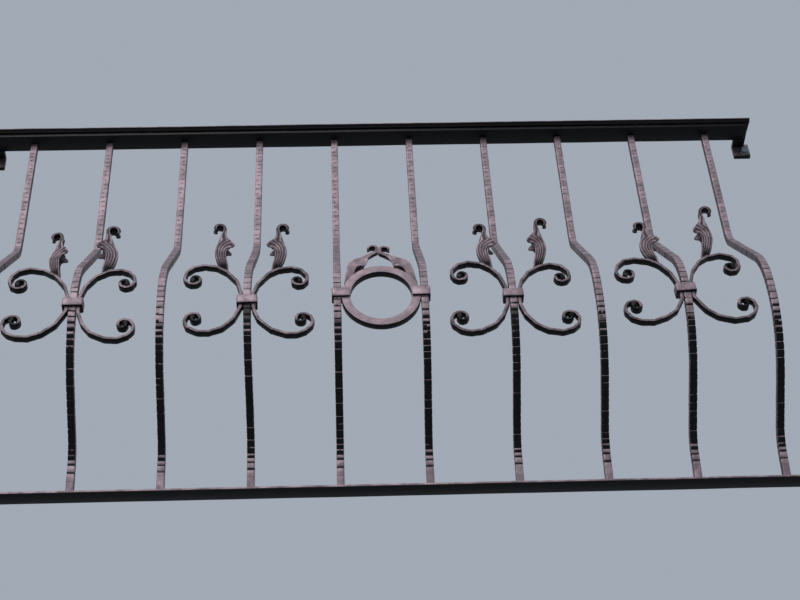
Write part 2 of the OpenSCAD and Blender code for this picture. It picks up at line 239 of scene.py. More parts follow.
def zincSteel(name, look):
    material, tree, shader = newMaterial(name)
    place = addNode(tree, "ShaderNodeTexCoord").outputs["Object"]
    crystals = addNode(tree, "ShaderNodeTexVoronoi", {"Vector": place,
                                                      "Scale": look["crystalScale"]}).outputs["Color"]
    tone = smoothRange(tree, crystals, 0.0, 1.0, *look["tones"])
    tree.links.new(blendColours(tree, tone, look["dark"], look["bright"]), shader.inputs["Base Color"])
    tree.links.new(smoothRange(tree, crystals, 0.0, 1.0, *look["roughness"]), shader.inputs["Roughness"])
    shader.inputs["Metallic"].default_value = look["metal"]
    return material


finishes["bolt"] = zincSteel("zincSteel", zincLook)
print("materials ready")


# Helpers for the shaping
def chooseOnly(piece):
    bpy.ops.object.select_all(action="DESELECT")
    bpy.context.view_layer.objects.active = piece
    piece.select_set(True)


def openEdit(piece):
    chooseOnly(piece)
    bpy.ops.object.mode_set(mode="EDIT")


def closeEdit():
    bpy.ops.object.mode_set(mode="OBJECT")


def pick(piece, kind, test):
    bpy.ops.mesh.select_mode(type=kind)
    bpy.ops.mesh.select_all(action="DESELECT")
    work = bmesh.from_edit_mesh(piece.data)
    for item in {"VERT": work.verts, "EDGE": work.edges, "FACE": work.faces}[kind]:
        if test(item):
            item.select_set(True)
    bmesh.update_edit_mesh(piece.data)


def outwards():
    bpy.ops.mesh.select_all(action="SELECT")
    bpy.ops.mesh.normals_make_consistent(inside=False)


def applyAll(piece):
    chooseOnly(piece)
    for modifier in list(piece.modifiers):
        bpy.ops.object.modifier_apply(modifier=modifier.name)
    bpy.ops.object.transform_apply(location=True, rotation=True, scale=True)


def addBox(name, low, high):
    low, high = Vector(low), Vector(high)
    bpy.ops.mesh.primitive_cube_add(size=1, location=(low + high) / 2)
    piece = bpy.context.object
    piece.name = name
    piece.scale = high - low
    applyAll(piece)
    return piece


def ownCopy(source, name):
    piece = source.copy()
    piece.data = source.data.copy()
    piece.name = name
    piece.data.name = name
    bpy.context.collection.objects.link(piece)
    return piece


def finishPiece(piece, slot, *nodes, finish=None, angle=30):
    chooseOnly(piece)
    bpy.ops.object.shade_smooth_by_angle(angle=math.radians(angle))
    piece.select_set(False)
    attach(piece, "root")
    if nodes:
        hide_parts(*nodes)
    piece.data.materials.clear()
    piece.data.materials.append(finishes[finish or slot])


def dropPiece(piece):
    bpy.data.objects.remove(piece, do_unlink=True)


# the value at a position, in a table of (position, value)
def between(table, position):
    for (a, low), (b, high) in zip(table, table[1:]):
        if position <= b:
            return low + (high - low) * (position - a) / (b - a)
    return table[-1][1]


def roundEdges(piece, width, segments, sharperThan=30):
    arris = piece.modifiers.new("arris", "BEVEL")
    arris.width = width
    arris.segments = segments
    arris.limit_method = "ANGLE"
    arris.angle_limit = math.radians(sharperThan)
    applyAll(piece)


# a new loop, in edit mode, square to one axis
def cutAt(axis, place):
    square = [1 if k == axis else 0 for k in range(3)]
    bpy.ops.mesh.select_mode(type="FACE")
    bpy.ops.mesh.select_all(action="SELECT")
    bpy.ops.mesh.bisect(plane_co=[place * k for k in square], plane_no=square)


def cutEvenly(low, high, axis, count):
    for k in range(1, count):
        cutAt(axis, low[axis] + (high[axis] - low[axis]) * k / count)


def roughen(piece, amount, scale, seed):
    for vertex in piece.data.vertices:
        drift = noise.noise_vector(vertex.co * scale + Vector((seed, 0, 0)))
        vertex.co += drift * amount


def keepDarker(hollow, vertex, shade):
    hollow.data[vertex.index].value = max(hollow.data[vertex.index].value, shade)


# Bar stock: a square or flat bar along +X, drawn out station by station, then hammered
hammering = {
    "ripples": 0.055,      # per mm
    "sideStep": 3.7,       # keeps the four sides' ripples apart
    "onFace": 0.8,         # a point further out than this share of the half width lies on a face
}


def drawBar(name, stations, thick, deep, corner, sideCuts=0):
    bpy.ops.mesh.primitive_plane_add(size=1, rotation=(0, math.pi / 2, 0))
    bar = bpy.context.object
    bar.name = name
    bar.scale = (deep, thick, 1)          # the plane's own x stands up after the turn
    applyAll(bar)
    openEdit(bar)
    bpy.ops.mesh.select_all(action="SELECT")
    bpy.ops.mesh.bevel(offset=corner, segments=2, affect="VERTICES")
    if sideCuts:
        pick(bar, "FACE", lambda f: True)
        bpy.ops.mesh.delete(type="ONLY_FACE")
        pick(bar, "EDGE", lambda e: e.calc_length() > 2 * corner)
        bpy.ops.mesh.subdivide(number_cuts=sideCuts)
        bpy.ops.mesh.select_all(action="SELECT")
        bpy.ops.mesh.edge_face_add()
    bpy.ops.mesh.select_mode(type="FACE")
    bpy.ops.mesh.select_all(action="SELECT")
    for here, there in zip(stations, stations[1:]):
        bpy.ops.mesh.extrude_region_move(TRANSFORM_OT_translate={"value": (there - here, 0, 0)})
    outwards()
    closeEdit()
    return bar


# strikes: for each station one dent a side, as depth, darkness, half width and centre, these in half sides
def hammerBar(bar, stations, strikes, wave, seed):
    hollow = bar.data.attributes.new("hollow", "FLOAT", "POINT")
    index = {round(x, 7): k for k, x in enumerate(stations)}
    half = max(v.co.y for v in bar.data.vertices), max(v.co.z for v in bar.data.vertices)
    for vertex in bar.data.vertices:
        spot = vertex.co.copy()
        k = index.get(round(spot.x, 7))
        if k is None:
            k = min(range(len(stations)), key=lambda j: abs(stations[j] - spot.x))
        dark = 0.0
        for axis in (1, 2):
            side = 1 if spot[axis] > 0 else -1
            onSide = abs(spot[axis]) / half[axis - 1]
            rippleAt = (spot.x / mm * hammering["ripples"], hammering["sideStep"] * axis * side, seed)
            move = wave * (0.5 + 0.5 * noise.noise(Vector(rippleAt))) * onSide
            if onSide > hammering["onFace"]:
                depth, darkness, width, centre = strikes[k][axis * 2 - 2 + (side > 0)]
                across = spot[3 - axis] / half[2 - axis]
                share = max(0.0, 1 - ((across - centre) / width) ** 2)
                move += depth * share
                dark = max(dark, darkness * share)
            vertex.co[axis] = spot[axis] - side * move
        hollow.data[vertex.index].value = dark


def bendAlong(piece, points):
    line = bpy.data.curves.new("guideLine", "CURVE")
    line.dimensions = "2D"
    spline = line.splines.new("POLY")
    spline.points.add(len(points) - 1)
    for point, (x, y) in zip(spline.points, points):
        point.co = (x, y, 0, 1)
    guide = bpy.data.objects.new("guide", line)
    bpy.context.collection.objects.link(guide)
    bend = piece.modifiers.new("bend", "CURVE")
    bend.object = guide
    bend.deform_axis = "POS_X"
    applyAll(piece)
    dropPiece(guide)


def lineLength(points):
    return sum((Vector(b) - Vector(a)).length for a, b in zip(points, points[1:]))


# Balusters
balusterShape = {
    "bar": 12.5 * mm,
    "corner": 1.1 * mm,
    "line": ((0, 835), (0, 546), (154, 333), (154, 188), (13, 73), (0, 0)),     # (out, height) in mm
    "bends": (60, 155, 170, 70),
    # zones from the foot up: top height, mm between marks, depth in mm, darkness, half width and how far off
    # centre, both in half sides
    "zones": (
        (16, (17, 22), (0.1, 0.2), (0.1, 0.2), (0.5, 1.1), 0.3),
        (44, (9, 15), (0.3, 0.5), (0.8, 1.0), (1.8, 3.0), 0.1),
        (70, (8, 12), (0.3, 0.6), (0.6, 0.95), (1.0, 2.0), 0.3),
        (215, (9, 14), (0.3, 0.8), (0.7, 1.0), (1.6, 3.0), 0.3),
        (350, (10, 15), (0.3, 0.85), (0.7, 1.0), (1.3, 3.0), 0.4),
        (402, (13, 19), (0.15, 0.4), (0.3, 0.6), (0.6, 1.4), 0.4),
        (412, (5, 6), (0.5, 0.8), (0.9, 1.0), (2.5, 3.0), 0.1),
        (516, (22, 34), (0.1, 0.25), (0.1, 0.3), (0.5, 1.2), 0.3),
        (548, (6, 8), (0.4, 0.7), (0.7, 0.95), (1.6, 2.8), 0.1),
        (835, (9.5, 14), (0.3, 0.6), (0.95, 1.2), (0.55, 1.1), 0.3),
    ),
    "markHalf": 1.4 * mm,
    "markShape": ((-1, 0.0), (-1 / 3, 1.0), (1 / 3, 0.9), (1, 0.0)),
    "plainEnd": 4.0 * mm,       # at the top end
    "wave": 0.5 * mm,
    "seeds": (11, 23, 37),
    "underCollar": {4: (205, 252), 7: (185, 235)},     # mm up, kept black just below the collar
    "underFade": (15, 6),
    "sway": {3: -1.5, 4: -4.0, 7: 1.5, 9: 2.0},        # mm sideways at the belly
    "swayAt": (0.36, 0.16),     # middle and spread, as shares of the bar's length
    "offWall": 35.0 * mm,       # the straight part's middle
}


def roundedLine(corners, radii, steps=14):
    points = [Vector(corners[0])]
    for before, corner, after, radius in zip(corners, corners[1:], corners[2:], radii):
        before, corner, after = Vector(before), Vector(corner), Vector(after)
        u = (before - corner).normalized()
        v = (after - corner).normalized()
        half = u.angle(v) / 2
        centre = corner + (u + v).normalized() * radius / math.sin(half)
        first = corner + u * radius / math.tan(half) - centre
        last = corner + v * radius / math.tan(half) - centre
        start = math.atan2(first.y, first.x)
        turn = (math.atan2(last.y, last.x) - start + 3 * math.pi) % (2 * math.pi) - math.pi
        for k in range(steps + 1):
            angle = start + turn * k / steps
            points.append(centre + radius * Vector((math.cos(angle), math.sin(angle))))
    points.append(Vector(corners[-1]))
    return points


def markedStations(side, look, rng):
    plain = ((0.0, 0.0, 1.0, 0.0),) * 4
    stations, strikes = [0.0], [plain]
    travelled, heights = 0.0, [(0.0, side[0][0] / mm)]
    for a, b in zip(side, side[1:]):
        travelled += (Vector(b) - Vector(a)).length
        heights.append((travelled, b[0] / mm))
    x = 0.0
    while True:
        height = between(heights, x)
        zone = next(z for z in look["zones"] if height <= z[0] + 1)
        mark = x + rng.uniform(*zone[1]) * mm
        if mark + look["plainEnd"] > travelled:
            break
        struck = []
        for _ in range(4):
            depth, dark, width = (rng.uniform(*limits) for limits in zone[2:5])
            struck.append((depth * mm, dark, width, rng.uniform(-zone[5], zone[5])))
        stations.append((x + mark) / 2)
        strikes.append(plain)
        for offset, share in look["markShape"]:
            stations.append(mark + offset * look["markHalf"])
            strikes.append(tuple((depth * share, dark * share, width, centre)
                                 for depth, dark, width, centre in struck))
        x = mark
    stations.append(travelled)
    strikes.append(plain)
    return stations, strikes


def makeBalusters(look):
    fromTop = roundedLine(look["line"], look["bends"])
    side = [(p.y * mm, p.x * mm) for p in reversed(fromTop)]
    length = lineLength(side)
    stocks = []
    for seed in look["seeds"]:
        stations, strikes = markedStations(side, look, random.Random(seed))
        stock = drawBar("stock", stations, look["bar"], look["bar"], look["corner"], sideCuts=3)
        hammerBar(stock, stations, strikes, look["wave"], seed)
        stocks.append(stock)
    for i in range(1, 11):
        piece = ownCopy(stocks[i % len(stocks)], "balusterBar%02d" % i)
        piece.rotation_euler = (math.pi / 2 * (i // len(stocks)), 0, 0)      # another side to the front
        applyAll(piece)
        sway = look["sway"].get(i, 0.0) * mm
        middle, spread = look["swayAt"]
        for vertex in piece.data.vertices:
            vertex.co.z += sway * math.exp(-((vertex.co.x / length - middle) / spread) ** 2)
        bendAlong(piece, side)
        # the bar is kept black for a stretch just below its collar
        if i in look["underCollar"]:
            low, high = look["underCollar"][i]
            fadeIn, fadeOut = look["underFade"]
            shades = ((0, 0), (low, 0), (low + fadeIn, 1), (high, 1), (high + fadeOut, 0))
            hollow = piece.data.attributes["hollow"]
            for vertex in piece.data.vertices:
                keepDarker(hollow, vertex, between(shades, vertex.co.x / mm))
        # up the bar becomes +Z, out of the wall becomes -Y
        piece.matrix_world = Matrix(((0, 0, 1, barX[i]), (0, -1, 0, -look["offWall"]),
                                     (1, 0, 0, footZ), (0, 0, 0, 1)))
        applyAll(piece)
        finishPiece(piece, "baluster", "baluster_%02d" % i)
    for stock in stocks:
        dropPiece(stock)


makeBalusters(balusterShape)
print("ten balusters")


# Scrolls
scrollShape = {
    "thick": 6.0 * mm,
    "deep": 12.0 * mm,
    "corner": 0.9 * mm,
    "armLength": 224.0,     # mm
    "fineStep": 0.5,        # mm, along the line before its flats
    "sweep": 124.0,         # degrees, spread evenly
    "curl": 496.0,          # degrees, wound up towards the tip
    "tighten": 5.15,
    "tiltBy": 0.15,         # share of the arm over which a tilt sets in
    "start": 9.45,          # mm from the baluster's axis to the bar's middle
    "facet": 31.0,          # mm between hammered flats on the arm
    "facetSpread": (0.8, 1.2),
    "tipFacet": 2.0,        # mm between them at the tip
    "uneven": 0.8,          # mm that a flat's ends are out of line
    "bulge": 1.2,           # mm that the flats' ends stand outside the line
    "stationGap": (2.2, 2.9),       # mm
    "lastGap": 3.2,
    "dents": (0, 0, 0.15, 0.3),     # mm deep, picked by chance
    "dentShade": 0.25,
    "dentWidth": 3.0,
    "wave": 0.45 * mm,
    "bareEnd": 29.0,        # mm at each tip that is kept black
    "bareFade": 9.0,        # mm of that over which the rose sets in
    "bareShade": 2,
    "upset": 0.3,           # share by which the tips are deeper, fading over so many mm
    "upsetOver": 18,
    # thickness at the tip over mm from it: a knob, a drawn neck, then the bar
    "tipThick": ((0, 1.8), (4, 1.8), (8, 0.84), (16, 0.84), (90, 1)),
    "stationSeed": 5,
    "seeds": (5, 17, 29),
    "bendSeed": 40,
    # each one as it was bent: rise in mm, tilt in degrees and size of the upper arm, then of the lower
    "bent": {
        (2, "left"): (-1, -2, 1.045, 5, 1.02), (2, "right"): (-3, -5, 0.95, -3, 0.98),
        (4, "left"): (1.5, -3.5, 1.005, 1, 0.94), (4, "right"): (-3, -4, 0.955, 2.5, 1.0),
        (7, "left"): (-0.5, -5.5, 0.965, -2, 1.0), (7, "right"): (-5, -4, 0.94, -1, 0.99),
        (9, "left"): (0.5, 1, 1.06, 9.5, 0.97), (9, "right"): (5.5, -8, 0.965, 8, 0.995),
    },
}


# one arm in mm from the collar's middle outwards and up, before the hammer gave it flats
def armLine(look, tilt, size):
    def heading(u):
        wound = look["curl"] * (math.exp(look["tighten"] * u) - 1) / (math.exp(look["tighten"]) - 1)
        return math.radians(look["sweep"] * u + wound + tilt * min(1.0, u / look["tiltBy"]))

    length = look["armLength"] * size
    count = int(length / look["fineStep"])
    point = Vector((look["start"], 0.0))
    line = [point.copy()]
    for k in range(count):
        angle = heading((k + 0.5) / count)
        point = point + Vector((math.sin(angle), math.cos(angle))) * length / count
        line.append(point.copy())
    return line


def facetedArm(look, fine, rng):
    picked, travelled, wanted = [fine[0]], 0.0, look["facet"] / 2
    total = lineLength(fine)
    for a, b in zip(fine, fine[1:]):
        travelled += (b - a).length
        if travelled >= wanted:
            share = travelled / total
            loose = look["uneven"] * (1 - share)
            outside = (b - a).orthogonal().normalized() * look["bulge"] * (1 - share)
            picked.append(b + outside + Vector((rng.uniform(-loose, loose), rng.uniform(-loose, loose))))
            spacing = look["facet"] * rng.uniform(*look["facetSpread"])
            wanted = travelled + spacing * (1 - share) + look["tipFacet"] * share
    if (picked[-1] - fine[-1]).length > 0.4 * look["tipFacet"]:
        picked.append(fine[-1])
    return picked


def makeScrolls(look):
    length = 2 * look["armLength"] * mm
    stations = [0.0]
    rng = random.Random(look["stationSeed"])
    while stations[-1] < length - look["lastGap"] * mm:
        stations.append(stations[-1] + rng.uniform(*look["stationGap"]) * mm)
    stations[-1] = length
    bareTable = ((0, 1), (look["bareEnd"] - look["bareFade"], 1), (look["bareEnd"], 0))
    upsetTable = ((0, 1), (look["upsetOver"], 0))
    stocks = []
    for seed in look["seeds"]:
        rng = random.Random(seed)
        strikes = []
        for _ in stations:
            depths = [rng.choice(look["dents"]) * mm for _ in range(4)]
            strikes.append([(depth, look["dentShade"], look["dentWidth"], 0.0) for depth in depths])
        stock = drawBar("stock", stations, look["thick"], look["deep"], look["corner"])
        hammerBar(stock, stations, strikes, look["wave"], seed)
        hollow = stock.data.attributes["hollow"]
        for vertex in stock.data.vertices:
            fromTip = min(vertex.co.x, length - vertex.co.x) / mm
            # each tip is kept black over its last mm
            keepDarker(hollow, vertex, between(bareTable, fromTip) * look["bareShade"])
            vertex.co.z *= 1 + look["upset"] * between(upsetTable, fromTip)
            vertex.co.y *= between(look["tipThick"], fromTip)
        stocks.append(stock)
    for number, ((i, hand), (rise, tiltUp, sizeUp, tiltLow, sizeLow)) in enumerate(look["bent"].items()):
        rng = random.Random(look["bendSeed"] + number)
        upper = facetedArm(look, armLine(look, tiltUp, sizeUp), rng)
        lower = facetedArm(look, armLine(look, tiltLow, sizeLow), rng)
        path = [(p.x * mm, -p.y * mm) for p in reversed(lower[1:])] + [(p.x * mm, p.y * mm) for p in upper]
        piece = ownCopy(stocks[number % len(stocks)], "scrollBar%02d%s" % (i, hand.capitalize()))
        piece.scale = (lineLength(path) / length, 1, 1)
        applyAll(piece)
        bendAlong(piece, path)
        piece.rotation_euler = (math.pi / 2, 0, 0)       # the curl's plane stands up
        applyAll(piece)
        piece.rotation_euler = (0, 0, 0 if hand == "right" else math.pi)
        sway = balusterShape["sway"].get(i, 0.0) * mm
        piece.location = (barX[i] + sway, featureY, featureZ + rise * mm)
        applyAll(piece)
        finishPiece(piece, "scrollwork", "scroll_%02d_%s" % (i, hand))
    for stock in stocks:
        dropPiece(stock)


makeScrolls(scrollShape)
print("eight scrolls")


# Collars and the ring's clips
collarShape = {
    "wall": 2.8 * mm,
    "shorter": 1.8 * mm,   # than the plain collar
    "proud": 0.6 * mm,     # and forged a little wider
    "forced": {2: (0, 0, -1), 4: (0, -1, 1), 7: (0, 3, 0), 9: (-1.5, 8, 4)},    # mm right and up, degrees
    "corner": 2.4 * mm,
    "arris": 0.7 * mm,
    "seam": 0.5 * mm,      # half the gap where the two ends meet at the back
    "uneven": 0.3 * mm,
    "unevenScale": 60.0,
}


# a strip bent round what it holds, closed behind, or open to one side where openX says so
def bandAround(name, low, high, look, openX=0):
    piece = addBox(name, low, high)
    centre = (low + high) / 2
    openEdit(piece)
    pick(piece, "FACE", lambda f: abs(f.normal.z) > 0.9)
    bpy.ops.mesh.delete(type="FACE")
    if openX:
        pick(piece, "FACE", lambda f: f.normal.x * openX > 0.9)
        bpy.ops.mesh.delete(type="FACE")
    pick(piece, "EDGE", lambda e: abs(e.verts[0].co.z - e.verts[1].co.z) > 0.1 * mm
         and len(e.link_faces) == 2)
    bpy.ops.mesh.bevel(offset=look["corner"], segments=4)
    if not openX:       # the ends of the strip meet behind the bars
        for offset in (-look["seam"], look["seam"]):
            cutAt(0, centre.x + offset)
        pick(piece, "FACE", lambda f: abs(f.calc_center_median().x - centre.x) < look["seam"]
             and f.calc_center_median().y > centre.y)
        bpy.ops.mesh.delete(type="FACE")
    outwards()
    closeEdit()
    wall = piece.modifiers.new("wall", "SOLIDIFY")
    wall.thickness = look["wall"]
    wall.offset = -1
    roundEdges(piece, look["arris"], 2, sharperThan=50)
    return piece


def makeCollars(look):
    for i in scrollBars:
        low, high = (Vector(v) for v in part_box("collar_%02d" % i))
        right, up, tilt = look["forced"][i]
        proud = Vector((look["proud"], look["proud"], -look["shorter"] / 2))
        shift = Vector((balusterShape["sway"].get(i, 0.0) + right, 0, up)) * mm
        piece = bandAround("collarBand%02d" % i, low - proud, high + proud, look)
        roughen(piece, look["uneven"], look["unevenScale"], i)
        centre = (low + high) / 2
        piece.matrix_world = (
            Matrix.Translation(centre + shift)
            @ turned(-tilt, "Y")
            @ Matrix.Translation(-centre)
        )
        applyAll(piece)
        finishPiece(piece, "collar", "collar_%02d" % i)
    for hand, side in handSides.items():
        low, high = (Vector(v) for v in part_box("ring_clip_%s" % hand))
        piece = bandAround("ringClip" + hand.capitalize(), low, high, look, openX=-side)
        roughen(piece, look["uneven"], look["unevenScale"], side)
        finishPiece(piece, "collar", "ring_clip_%s" % hand)


makeCollars(collarShape)
print("collars and clips")


# Centre ring
ringShape = {
    "radius": 63.35 * mm,
    "face": 14.0 * mm,
    "deep": 12.0 * mm,
    "corner": 1.1 * mm,
    "lean": 3.2,        # degrees, top towards the street
    "steps": 120,
    "uneven": 0.45 * mm,
    "unevenScale": 22.0,
    "unevenSeed": 4.0,
}


def makeRing(look):
    bpy.ops.mesh.primitive_plane_add(size=1, location=(look["radius"] - look["face"] / 2, 0, 0))
    ring = bpy.context.object
    ring.name = "ringBar"
    ring.scale = (look["face"], look["deep"], 1)
    applyAll(ring)
    openEdit(ring)
    bpy.ops.mesh.select_all(action="SELECT")
    bpy.ops.mesh.bevel(offset=look["corner"], segments=3, affect="VERTICES")
    pick(ring, "FACE", lambda f: True)
    bpy.ops.mesh.delete(type="ONLY_FACE")
    pick(ring, "EDGE", lambda e: True)
    bpy.ops.mesh.spin(steps=look["steps"], angle=2 * math.pi, center=(0, 0, 0), axis=(0, 1, 0))
    bpy.ops.mesh.select_all(action="SELECT")
    bpy.ops.mesh.remove_doubles(threshold=1e-5)
    outwards()
    closeEdit()
    roughen(ring, look["uneven"], look["unevenScale"], look["unevenSeed"])
    ring.rotation_euler = (math.radians(look["lean"]), 0, 0)
    ring.location = middleOf("centre_ring")
    applyAll(ring)
    finishPiece(ring, "scrollwork", "centre_ring", finish="ring")


makeRing(ringShape)
print("centre ring")


# Leaves: folded sheet with flutes, a lobe on each flank and a hooked tip
leafShape = {
    # from the foot up, in mm: the fold's place (out, up), the flanks' direction in degrees, their reach,
    # half the width between them and how far their edges flare
    "rows": (
        (4.5, -3, 180, 9.5, 4.8, 0), (8.0, 4, 180, 12.5, 5.4, 0), (11.4, 11, 181, 15.0, 6.2, 0.3),
        (14.4, 19, 181, 16.5, 6.6, 0.5), (16.4, 27, 181, 17.4, 6.8, 0.5), (17.7, 34, 181, 18.2, 6.8, 0.6),
        (18.2, 39, 182, 19.4, 6.8, 1.0), (18.1, 43, 184, 21.6, 6.8, 2.2), (17.7, 47, 186, 25.5, 6.8, 4.0),
        (17.1, 51, 188, 30.5, 6.6, 5.8), (16.3, 54.5, 188, 32.3, 6.4, 6.6), (15.2, 58, 187, 29.5, 6.2, 6.0),
        (13.9, 61.5, 185, 25.5, 6.0, 4.6), (12.6, 65.2, 182, 20.8, 5.8, 2.8),
        (11.4, 69.4, 178, 16.4, 5.4, 1.2),
        (10.1, 74, 175, 13.0, 5.0, 0.3), (8.7, 79.5, 174, 10.6, 4.8, 0), (7.0, 85.5, 175, 9.0, 5.0, 0),
        (5.8, 91, 174, 7.8, 6.4, 0), (6.2, 93.9, 146, 7.4, 7.2, 0), (7.6, 95.6, 116, 7.3, 7.6, 0),
        (9.6, 96.1, 90, 7.2, 7.7, 0), (11.7, 95.4, 60, 7.2, 7.6, 0), (13.2, 93.6, 34, 7.2, 7.2, 0),
        (13.7, 91.4, 8, 6.8, 6.6, 0), (13.4, 89.4, -16, 5.4, 5.6, 0), (12.8, 88.0, -34, 1.5, 2.5, 0),
    ),
    "tipLeast": (0.4, 0.6),         # mm of reach and half width that stay at the very tip
    "flankCurve": 1.4,
    "squareness": 2.2,              # of the fold's front, and how much squarer the hook gets, over mm up
    "squarer": 2.6,
    "squareFrom": (78, 92),
    "flareFrom": 0.5,               # share of the flank
    "flareCurve": 1.8,
    # behind, the lobe is worn short: share of the reach, over mm up
    "backLobe": ((0, 1.0), (50, 1.0), (57, 0.75), (68, 0.75), (78, 1.0)),
    "bodyUpTo": 50.0 * mm,
    # the flutes rise from the foot and fan out round the notch: how far the fan reaches and the share of the
    # flank that it takes, over degrees
    "notch": (-3.0, 40.0),
    "fan": ((0, 21), (30, 23), (48, 26), (65, 30), (80, 32), (100, 28), (118, 25), (134, 21), (180, 16)),
    "fanShare": ((0, 1.0), (72, 1.0), (112, 0.58)),
    "neckFrom": (58.0, 70.0),       # mm up, where the outer flutes run on into the neck
    "neckShare": 0.42,
    "ridges": 4.5,
    "hookFrom": (82.0, 93.0),       # mm up, where the tip has a ridge of its own inside its rim
    "hookBand": (0.42, 0.17),       # its middle and spread, as shares of the flank
    "ridgeHeight": 1.8 * mm,
    "flutePower": 1.3,
    "innerShade": 0.75,
    "shadedFoot": (6.0, 27.0),        # mm up, below which the leaf is darkened: painted shade on the lower body
    "bareShade": 1.3,
    "rosyRim": 0.14,                # share of the flank at its edge that keeps its rose through that painted shade
    "sheet": 2.2 * mm,
    "alongSteps": 78,
    "acrossSteps": 44,
    # each one as it was set: mm from the baluster's axis, lean, turn and pitch in degrees, size
    "set": {
        (2, "left"): (32.5, -2, -3, 0, 0.96), (2, "right"): (46.5, -3.5, -8, -4.5, 1.1),
        (4, "left"): (38, 0.5, 7.5, 4, 0.955), (4, "right"): (44.5, 1.5, 3, 2.5, 0.98),
        (7, "left"): (35, -0.5, 2.5, -2.5, 1.0), (7, "right"): (44.5, 2, 2, 7, 0.975),
        (9, "left"): (42.5, 2, -0.5, -5, 1.0), (9, "right"): (41.5, 1.5, 5.5, 11, 0.98),
    },
    "onArm": 0.6,           # mm to either side over which a leaf's foot rests on the arm
    # on the ring: degrees from its top, lean and size, and how far the body bows away from the ring
    "onRing": {"left": (61, 37.3, 0.9), "right": (62, 40.3, 0.91)},
    "bow": 10.0 * mm,
    "bowUpTo": 104.0 * mm,
    "flattened": 0.82,      # these two are folded closer
    "intoRing": 12,         # the foot sinks into one part in so many of the ring's face
}


# a smooth line through the rows, at a position counted in rows
def through(rows, position):
    k = min(int(position), len(rows) - 2)
    t = position - k
    around = [rows[max(0, min(len(rows) - 1, k + d))] for d in (-1, 0, 1, 2)]
    return [
        0.5 * ((2 * b) + (c - a) * t + (2 * a - 5 * b + 4 * c - d) * t * t + (3 * b - a - 3 * c + d) * t ** 3)
        for a, b, c, d in zip(*around)
    ]


def ramp(value, low, high):
    return min(1.0, max(0.0, (value - low) / (high - low)))


# 1 on a ridge and 0 in a flute, at a point of the flank; share runs from the fold to the edge
def ridgeAt(look, out, up, share):
    notchOut, notchUp = look["notch"]
    inner = share
    if up > notchUp:
        angle = math.degrees(math.atan2(up - notchUp, out - notchOut))
        away = min(1.0, math.hypot(out - notchOut, up - notchUp) / between(look["fan"], angle))
        inner = 1 - away * between(look["fanShare"], angle)
    toNeck = ramp(up, *look["neckFrom"]) if out > notchOut else 0.0
    inner += (share * look["neckShare"] - inner) * toNeck
    fanned = 0.5 + 0.5 * math.cos(2 * math.pi * look["ridges"] * (1 - inner))
    middle, spread = look["hookBand"]
    hooked = math.exp(-((share - middle) / spread) ** 2)
    return fanned + (hooked - fanned) * ramp(up, *look["hookFrom"])


def makeLeaf(look):
    bpy.ops.mesh.primitive_grid_add(x_subdivisions=look["acrossSteps"],
                                    y_subdivisions=look["alongSteps"], size=2)
    leaf = bpy.context.object
    leaf.name = "leafSheet"
    rows = look["rows"]
    leastReach, leastWidth = look["tipLeast"]
    shadedFrom, shadedTo = look["shadedFoot"]
    ridges, darkened = {}, {}
    for vertex in leaf.data.vertices:
        across, along = vertex.co.x, (vertex.co.y + 1) / 2
        out, up, direction, reach, width, flare = through(rows, along * (len(rows) - 1))
        share = abs(across)       # 0 on the fold, 1 at the flank's edge
        reach, width = max(reach, leastReach), max(width, leastWidth)
        angle = math.radians(direction)
        if across > 0:
            reach *= between(look["backLobe"], up)
        inward = reach * share ** look["flankCurve"]
        squareness = look["squareness"] + look["squarer"] * ramp(up, *look["squareFrom"])
        flared = ramp(share, look["flareFrom"], 1) ** look["flareCurve"]
        sideways = width * (1 - (1 - share) ** squareness) + flare * flared
        spot = (out + inward * math.cos(angle), up + inward * math.sin(angle))
        ridges[vertex.index] = ridgeAt(look, *spot, inward / reach)
        # painted shade on the lower body, with the rim spared
        darkened[vertex.index] = (between(((-9, 1), (shadedFrom, 1), (shadedTo, 0)), spot[1])
                              * min(1.0, (1 - share) / look["rosyRim"]))
        sideways = math.copysign(sideways, across) if share > 1e-6 else 0.0
        vertex.co = Vector((spot[0], sideways, spot[1])) * mm
    openEdit(leaf)
    outwards()
    closeEdit()
    onFold = [v for v in leaf.data.vertices if abs(v.co.y) < 1e-6 and v.co.z < look["bodyUpTo"]]
    if sum(v.normal.x for v in onFold) < 0:        # an open sheet has no inside to tell which way is out
        leaf.data.flip_normals()
    lifts = [v.normal * look["ridgeHeight"] * (ridges[v.index] - 0.5) for v in leaf.data.vertices]
    hollow = leaf.data.attributes.new("hollow", "FLOAT", "POINT")
    for vertex, lift in zip(leaf.data.vertices, lifts):
        vertex.co += lift
        fluteShade = 1 - ridges[vertex.index] ** look["flutePower"]
        hollow.data[vertex.index].value = max(fluteShade, darkened[vertex.index] * look["bareShade"])
    outer = len(leaf.data.vertices)
    sheet = leaf.modifiers.new("sheet", "SOLIDIFY")
    sheet.thickness = look["sheet"]
    sheet.offset = -1
    applyAll(leaf)
    hollow = leaf.data.attributes["hollow"]
    for vertex in leaf.data.vertices[outer:]:          # painted shade inside the fold
        keepDarker(hollow, vertex, look["innerShade"])
    rounding = leaf.modifiers.new("rounding", "SUBSURF")
    rounding.levels = 1
    rounding.render_levels = 1
    applyAll(leaf)
    return leaf


def mirrored(source, name):
    piece = ownCopy(source, name)
    piece.scale = (-1, 1, 1)
    applyAll(piece)
    openEdit(piece)
    outwards()
    closeEdit()
    return piece


